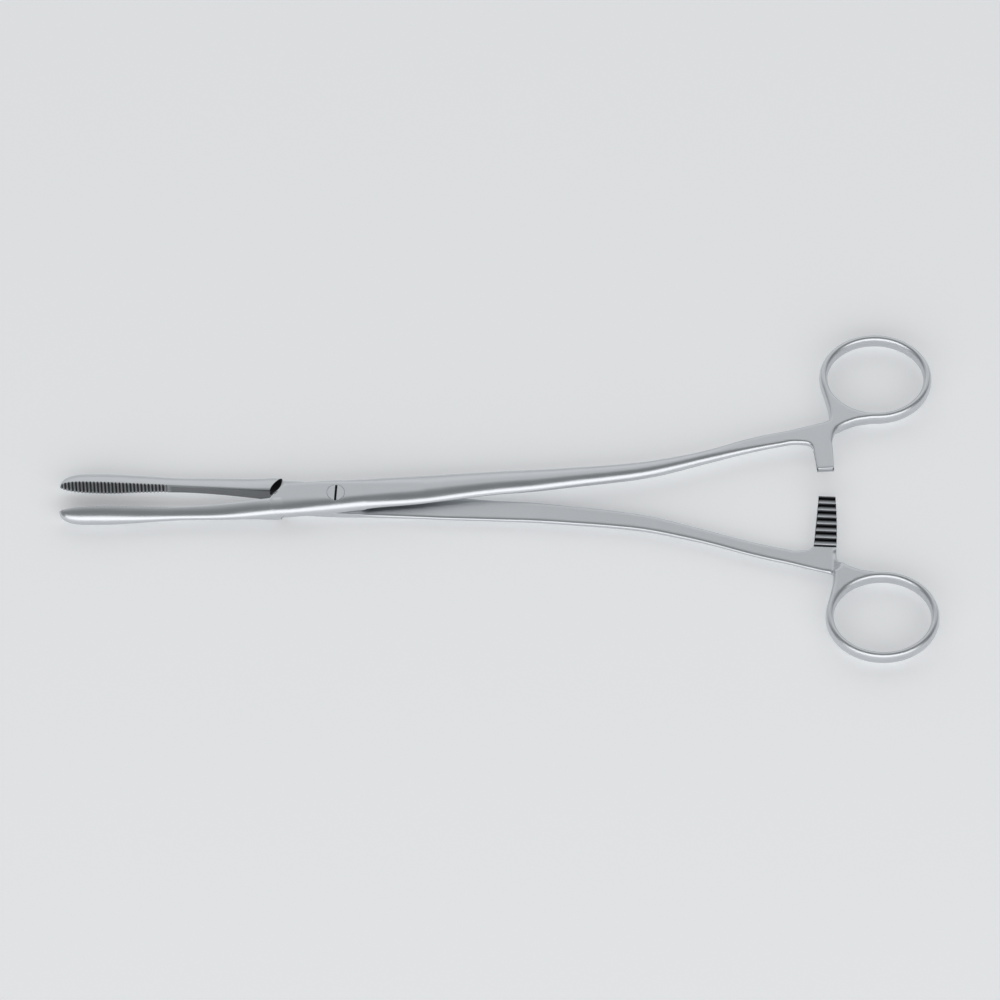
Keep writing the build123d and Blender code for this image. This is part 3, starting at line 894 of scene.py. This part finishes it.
def maths(nodes, links, operation, first, second):
    """One arithmetic step on two values, each a number or a socket."""
    node = nodes.new("ShaderNodeMath")
    node.operation = operation
    for socket, value in zip(node.inputs, (first, second)):
        if isinstance(value, (int, float)):
            socket.default_value = value
        else:
            links.new(value, socket)
    return node.outputs[0]


def ramp(nodes, links, factor, low, high):
    """A value from 0 to 1 moved to the range from low to high."""
    node = nodes.new("ShaderNodeMapRange")
    node.inputs["To Min"].default_value = low
    node.inputs["To Max"].default_value = high
    links.new(factor, node.inputs["Value"])
    return node.outputs["Result"]


print("node helpers ready")

# %% [markdown]
# ## The grain itself
# Scales are in waves a metre: patches of about 6 mm, a speckle of 0.4 mm, streaks across the
# flats from the grinding belt and longer ones along the shank from the polishing wheel.

# %% Patches, speckle and streaks
def build_grain():
    """Patches, fine speckle and brushed streaks, as a brightness, a roughness and a height."""
    group, source, sink = new_group(
        "Satin grain",
        {"Roughness": 0.3, "Streaks": 0.5},
        {"Brightness": "NodeSocketFloat", "Roughness": "NodeSocketFloat", "Height": "NodeSocketFloat"},
    )
    nodes, links = group.nodes, group.links
    place = nodes.new("ShaderNodeTexCoord").outputs["Object"]
    patches = noise(nodes, links, place, 160.0, 3.0)
    speckle = noise(nodes, links, place, 2600.0, 2.0)
    belt_place = scaled(nodes, links, place, (2600.0, 190.0, 900.0))
    wheel_place = scaled(nodes, links, place, (120.0, 2100.0, 2100.0))
    belt = noise(nodes, links, belt_place, 1.0, 3.0)
    wheel = noise(nodes, links, wheel_place, 1.0, 3.0)
    belt = maths(nodes, links, "MULTIPLY", belt, source.outputs["Streaks"])
    streaks = maths(nodes, links, "ADD", belt, maths(nodes, links, "MULTIPLY", wheel, 0.5))
    bright = maths(nodes, links, "ADD", ramp(nodes, links, patches, 0.955, 1.045),
                   ramp(nodes, links, speckle, -0.03, 0.03))
    rough = ramp(nodes, links, patches, -0.03, 0.03)
    rough = maths(nodes, links, "ADD", source.outputs["Roughness"], rough)
    rough = maths(nodes, links, "ADD", rough, ramp(nodes, links, streaks, -0.02, 0.04))
    height = maths(nodes, links, "ADD", maths(nodes, links, "MULTIPLY", streaks, 0.6),
                   maths(nodes, links, "MULTIPLY", speckle, 0.4))
    links.new(bright, sink.inputs["Brightness"])
    links.new(rough, sink.inputs["Roughness"])
    links.new(height, sink.inputs["Height"])
    return group


grain = build_grain()
print("group", grain.name, "with", len(grain.nodes), "nodes")

# %% [markdown]
# ## The steel material
# The ground sliding face is a little duller than the rest, and the grooves, the gripping flats
# and the corners are dark, so the two attributes from the mesh change roughness and colour
# there. The dark is painted: shade in the grooves and corners, a dark reflection on the flats.
# A power above one keeps the half dark places from spreading.

# %% Steel
steel_colour = (0.66, 0.678, 0.70)
screw_colour = (0.64, 0.658, 0.68)
# Colour of the painted shade in grooves and corners and of the painted dark reflection on the flats
painted_dark_colour = (0.012, 0.012, 0.014)
grain_depth = 0.00002


def steel(name, colour, roughness, streaks):
    """Principled metal whose colour, roughness and bump come from the grain and the masks."""
    material = bpy.data.materials.new(name)
    material.use_nodes = True
    nodes, links = material.node_tree.nodes, material.node_tree.links
    shader = nodes["Principled BSDF"]
    shader.inputs["Metallic"].default_value = 1.0
    texture = nodes.new("ShaderNodeGroup")
    texture.node_tree = grain
    texture.inputs["Roughness"].default_value = roughness
    texture.inputs["Streaks"].default_value = streaks
    # The groove attribute carries the painted shade and the painted dark reflection
    painted_dark_mask = nodes.new("ShaderNodeAttribute")
    painted_dark_mask.attribute_name = "groove"
    ground_mask = nodes.new("ShaderNodeAttribute")
    ground_mask.attribute_name = "ground"
    tone = nodes.new("ShaderNodeMix")
    tone.data_type = "RGBA"
    tone.blend_type = "MULTIPLY"
    tone.inputs["Factor"].default_value = 1.0
    tone.inputs["A"].default_value = (*colour, 1)
    links.new(texture.outputs["Brightness"], tone.inputs["B"])
    # Mixes the painted shade and the painted dark reflection into the steel colour
    painted_dark_mix = nodes.new("ShaderNodeMix")
    painted_dark_mix.data_type = "RGBA"
    painted_dark_mix.inputs["B"].default_value = (*painted_dark_colour, 1)
    links.new(tone.outputs["Result"], painted_dark_mix.inputs["A"])
    dark = maths(nodes, links, "POWER", painted_dark_mask.outputs["Fac"], 1.1)
    links.new(dark, painted_dark_mix.inputs["Factor"])
    links.new(painted_dark_mix.outputs["Result"], shader.inputs["Base Color"])
    dull = maths(nodes, links, "MULTIPLY", ground_mask.outputs["Fac"], 0.02)
    links.new(maths(nodes, links, "ADD", texture.outputs["Roughness"], dull), shader.inputs["Roughness"])
    bump = nodes.new("ShaderNodeBump")
    bump.inputs["Strength"].default_value = 0.25
    bump.inputs["Distance"].default_value = grain_depth
    links.new(texture.outputs["Height"], bump.inputs["Height"])
    links.new(bump.outputs["Normal"], shader.inputs["Normal"])
    return material


front_piece.data.materials.append(steel("front_satin_steel", steel_colour, 0.33, 0.3))
back_piece.data.materials.append(steel("back_satin_steel", steel_colour, 0.33, 0.8))
screw_piece.data.materials.append(steel("screw_satin_steel", screw_colour, 0.30, 0.3))
print("materials", [material.name for material in bpy.data.materials if material.users])

# %% [markdown]
# ## Floor, light and camera
# The forceps lie on a plain pale sheet. A long soft box in front draws the white line along the
# rounded edges, a second one behind gives the flat tops their even grey, and the dim sky between
# them is the dark line above the white one.

# %% Pale floor
floor_side = 6.0
background_glow = 0.25
floor_mesh = bpy.data.meshes.new("floor")
floor_corners = floor_side * np.array([(-1, -1, 0), (1, -1, 0), (1, 1, 0), (-1, 1, 0)])
floor_mesh.from_pydata(floor_corners.tolist(), [], [(0, 1, 2, 3)])
floor = bpy.data.objects.new("floor", floor_mesh)
floor.location.z = -0.00015
bpy.context.scene.collection.objects.link(floor)
floor_material = bpy.data.materials.new("pale_sheet")
floor_material.use_nodes = True
floor_shader = floor_material.node_tree.nodes["Principled BSDF"]
floor_shader.inputs["Base Color"].default_value = (0.82, 0.83, 0.84, 1)
floor_shader.inputs["Roughness"].default_value = 0.9
floor_shader.inputs["Specular IOR Level"].default_value = 0.1
floor_shader.inputs["Emission Color"].default_value = (0.98, 0.99, 1.0, 1)
tree = floor_material.node_tree
path = tree.nodes.new("ShaderNodeLightPath").outputs
seen = maths(tree.nodes, tree.links, "MAXIMUM", path["Is Camera Ray"], path["Is Glossy Ray"])
seen = maths(tree.nodes, tree.links, "MAXIMUM", seen, path["Is Transmission Ray"])
glow = maths(tree.nodes, tree.links, "MULTIPLY", seen, background_glow)
tree.links.new(glow, floor_shader.inputs["Emission Strength"])
floor_mesh.materials.append(floor_material)
print("floor laid")

# %% [markdown]
# ## Soft boxes and sky
# Polished steel shows its surroundings more than its own colour, so the lamps are large and
# few. A lamp's watts are worked out from the brightness it should have when mirrored.

# %% Lamps and world
def soft_box(name, centre, size, radiance, target=(0, 0, 0)):
    """Rectangular lamp that faces the target. Its watts are radiance times pi times its area."""
    lamp = bpy.data.lights.new(name, "AREA")
    lamp.shape = "RECTANGLE"
    lamp.size, lamp.size_y = size
    lamp.energy = radiance * math.pi * size[0] * size[1]
    holder = bpy.data.objects.new(name, lamp)
    holder.location = centre
    holder.rotation_euler = (Vector(target) - Vector(centre)).to_track_quat("-Z", "Y").to_euler()
    bpy.context.scene.collection.objects.link(holder)
    return holder


def beside(angle, distance):
    """Point in the upright plane across the forceps, at an angle above the front horizon."""
    turn = math.radians(angle)
    return (0, -distance * math.cos(turn), distance * math.sin(turn))


soft_box("front_box", beside(26, 1.6), (4.4, 1.40), 1.38)
soft_box("back_box", beside(141, 1.6), (4.4, 1.55), 0.384)
world = bpy.data.worlds.new("studio")
bpy.context.scene.world = world
world.use_nodes = True
sky = world.node_tree.nodes["Background"]
sky.inputs["Color"].default_value = (0.95, 0.98, 1.0, 1)
sky_nodes, sky_links = world.node_tree.nodes, world.node_tree.links
direction = sky_nodes.new("ShaderNodeSeparateXYZ")
sky_links.new(sky_nodes.new("ShaderNodeTexCoord").outputs["Generated"], direction.inputs["Vector"])
rise = sky_nodes.new("ShaderNodeMapRange")
rise.interpolation_type = "SMOOTHSTEP"
for key, value in {"From Min": -0.10, "From Max": 0.75, "To Min": 0.22, "To Max": 0.45}.items():
    rise.inputs[key].default_value = value
sky_links.new(direction.outputs["Y"], rise.inputs["Value"])
sky_links.new(rise.outputs["Result"], sky.inputs["Strength"])
print("lamps", [lamp.name for lamp in bpy.data.lights])

# %% [markdown]
# ## Camera
# The photograph was taken from well above the front and from far away, so the lens is long and
# the two shanks keep their widths. The roll and the aim were chosen by comparing outlines, as a
# compromise between the shanks and the rings.

# %% Camera at the photograph's angle
elevation = math.radians(58.0)
distance = 2.450
view_width = 0.284
roll = math.radians(-0.16)
away = Vector((0, -math.cos(elevation), math.sin(elevation)))
above = Vector((0, math.sin(elevation), math.cos(elevation)))
aim = Vector((pivot[0] + 0.0466, 0, pivot[2])) - above * 0.00043
camera_data = bpy.data.cameras.new("camera")
camera_data.sensor_width = 36.0
camera_data.lens = 36.0 * distance / view_width
camera_data.clip_start, camera_data.clip_end = 0.1, 50.0
camera = bpy.data.objects.new("camera", camera_data)
camera.location = aim + away * distance
camera.rotation_mode = "QUATERNION"
camera.rotation_quaternion = (-away).to_track_quat("-Z", "Y") @ Euler((0, 0, roll)).to_quaternion()
bpy.context.scene.collection.objects.link(camera)
bpy.context.scene.camera = camera
bpy.context.scene.view_settings.view_transform = "Standard"
print("camera lens", round(camera_data.lens, 1))
